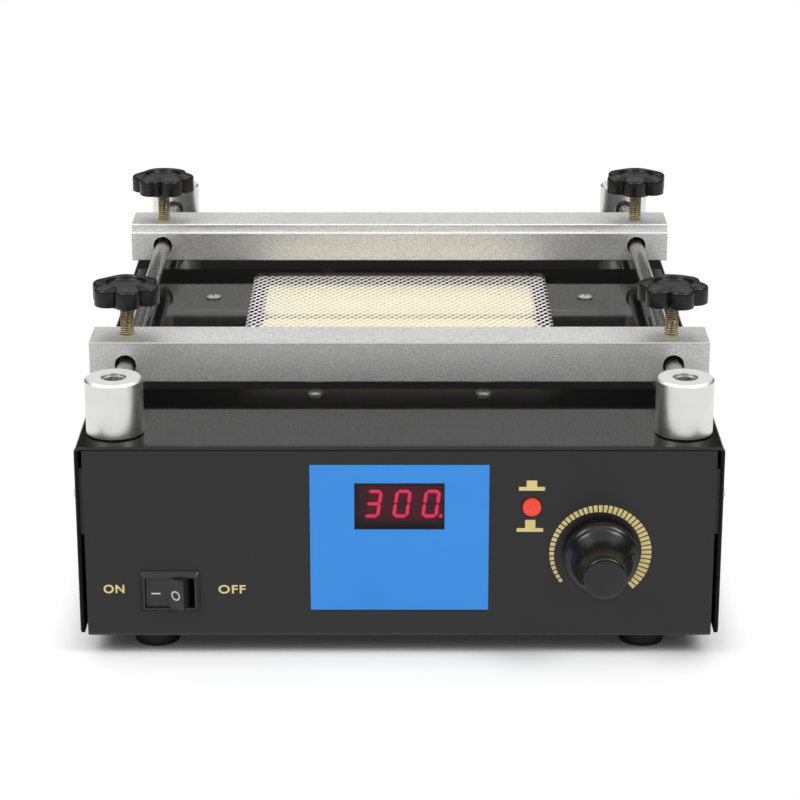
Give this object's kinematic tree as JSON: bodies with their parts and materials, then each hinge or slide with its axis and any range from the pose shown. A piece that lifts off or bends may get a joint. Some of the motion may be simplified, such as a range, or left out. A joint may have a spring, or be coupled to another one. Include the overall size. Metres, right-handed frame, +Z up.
{
  "type": "pcb preheater",
  "caption": "Bench preheater for circuit boards: a sheet metal case with a meshed ceramic heater window, and clamp bars that slide on guide rods above it.",
  "frame": {"origin": "centre of the bounding box on the ground plane under the feet", "axes": "+X to the right as seen from the front panel, +Y from the front panel to the rear, +Z up"},
  "size_m": [0.2254, 0.334, 0.1175],
  "materials": {
    "chassis_paint": "satin powder coat",
    "cover_paint": "semi-gloss powder coat",
    "screw_steel": "bright zinc",
    "foot_rubber": "matte",
    "post_aluminium": "turned and anodised",
    "bar_aluminium": "sandblasted",
    "rod_steel": "ground",
    "stud_zinc": "yellow zinc",
    "star_plastic": "moulded",
    "mesh_steel": "bright",
    "heater_ceramic": "glazed cream",
    "insulation": "ceramic fibre",
    "overlay_film": "printed film",
    "lens_red": "smoked red",
    "digit_light": "lit segments",
    "black_plastic": "moulded",
    "rocker_plastic": "moulded",
    "knob_plastic": "polished",
    "button_plastic": "moulded",
    "pin_metal": "plated",
    "board_laminate": "solder resist",
    "part_grey": "plain",
    "part_green": "moulded",
    "core_iron": "varnished"
  },
  "bodies": {
    "base": {"chassis_tray": "chassis_paint", "top_cover": "cover_paint", "cover_screws": "screw_steel", "foot_screws": "screw_steel", "pan_screws": "screw_steel", "pan_nuts": "screw_steel", "post_nuts": "screw_steel", "display_nuts": "screw_steel", "inlet_screws": "screw_steel", "bush_nut_ring": "screw_steel", "post_screws": "screw_steel", "rubber_feet": "foot_rubber", "front_left_post": "post_aluminium", "front_right_post": "post_aluminium", "rear_left_post": "post_aluminium", "rear_right_post": "post_aluminium", "left_guide_rod": "rod_steel", "right_guide_rod": "rod_steel", "temperature_probe": "rod_steel", "heater_mesh": "mesh_steel", "reflector_pan": "mesh_steel", "tile_clips": "mesh_steel", "rear_heater_tile": "heater_ceramic", "middle_heater_tile": "heater_ceramic", "front_heater_tile": "heater_ceramic", "mesh_gasket": "insulation", "insulation_pad": "insulation", "display_overlay": "overlay_film", "display_lens": "lens_red", "display_digits": "digit_light", "display_module": "black_plastic", "switch_housing": "black_plastic", "mains_inlet": "black_plastic", "fuse_holder": "black_plastic", "fuse_cap": "black_plastic", "switch_terminals": "pin_metal", "inlet_pins": "pin_metal", "board_standoffs": "pin_metal", "display_board": "board_laminate", "control_board": "board_laminate", "button_switch": "part_grey", "potentiometer": "part_grey", "heatsink": "part_grey", "terminal_block": "part_green", "transformer": "core_iron"},
    "front_bar": {"front_clamp_bar": "bar_aluminium"},
    "rear_bar": {"rear_clamp_bar": "bar_aluminium"},
    "front_left_screw": {"front_left_stud": "stud_zinc"},
    "front_left_grip": {"front_left_star_knob": "star_plastic"},
    "front_right_screw": {"front_right_stud": "stud_zinc"},
    "front_right_grip": {"front_right_star_knob": "star_plastic"},
    "rear_left_screw": {"rear_left_stud": "stud_zinc"},
    "rear_left_grip": {"rear_left_star_knob": "star_plastic"},
    "rear_right_screw": {"rear_right_stud": "stud_zinc"},
    "rear_right_grip": {"rear_right_star_knob": "star_plastic"},
    "rocker_body": {"rocker": "rocker_plastic"},
    "button_body": {"push_button": "button_plastic"},
    "dial_body": {"temperature_knob": "knob_plastic", "control_shaft": "pin_metal"}
  },
  "joints": [
    {"name": "front_bar_slide", "type": "slide", "parent": "base", "child": "front_bar", "axis": [0, 1, 0], "range_m": [-0.0285, 0.067]},
    {"name": "rear_bar_slide", "type": "slide", "parent": "base", "child": "rear_bar", "axis": [0, 1, 0], "range_m": [-0.066, 0.038]},
    {"name": "front_left_screw_lift", "type": "slide", "parent": "front_bar", "child": "front_left_screw", "axis": [0, 0, 1], "range_m": [0, 0.0024]},
    {"name": "front_left_knob_turn", "type": "hinge", "parent": "front_left_screw", "child": "front_left_grip", "pos_m": [-0.0982, -0.0771, 0.09769], "axis": [0, 0, 1], "range_deg": [0, 1080]},
    {"name": "front_right_screw_lift", "type": "slide", "parent": "front_bar", "child": "front_right_screw", "axis": [0, 0, 1], "range_m": [0, 0.0024]},
    {"name": "front_right_knob_turn", "type": "hinge", "parent": "front_right_screw", "child": "front_right_grip", "pos_m": [0.0982, -0.0771, 0.09769], "axis": [0, 0, 1], "range_deg": [0, 1080]},
    {"name": "rear_left_screw_lift", "type": "slide", "parent": "rear_bar", "child": "rear_left_screw", "axis": [0, 0, 1], "range_m": [0, 0.0024]},
    {"name": "rear_left_knob_turn", "type": "hinge", "parent": "rear_left_screw", "child": "rear_left_grip", "pos_m": [-0.0982, 0.0832, 0.09769], "axis": [0, 0, 1], "range_deg": [0, 1080]},
    {"name": "rear_right_screw_lift", "type": "slide", "parent": "rear_bar", "child": "rear_right_screw", "axis": [0, 0, 1], "range_m": [0, 0.0024]},
    {"name": "rear_right_knob_turn", "type": "hinge", "parent": "rear_right_screw", "child": "rear_right_grip", "pos_m": [0.0982, 0.0832, 0.09769], "axis": [0, 0, 1], "range_deg": [0, 1080]},
    {"name": "power_rocker", "type": "hinge", "parent": "base", "child": "rocker_body", "pos_m": [-0.0794, -0.1404, 0.0247], "axis": [0, 0, 1], "range_deg": [0, 33]},
    {"name": "button_press", "type": "slide", "parent": "base", "child": "button_body", "axis": [0, 1, 0], "range_m": [0, 0.001], "stiffness_N_per_m": 1500},
    {"name": "temperature_turn", "type": "hinge", "parent": "base", "child": "dial_body", "pos_m": [0.0693, -0.143, 0.039], "axis": [0, 1, 0], "range_deg": [-206, 58]}
  ],
  "couplings": [
    {"joint": "front_left_screw_lift", "follows": "front_left_knob_turn", "m_per_rad": 0.00012732},
    {"joint": "front_right_screw_lift", "follows": "front_right_knob_turn", "m_per_rad": 0.00012732},
    {"joint": "rear_left_screw_lift", "follows": "rear_left_knob_turn", "m_per_rad": 0.00012732},
    {"joint": "rear_right_screw_lift", "follows": "rear_right_knob_turn", "m_per_rad": 0.00012732}
  ]
}
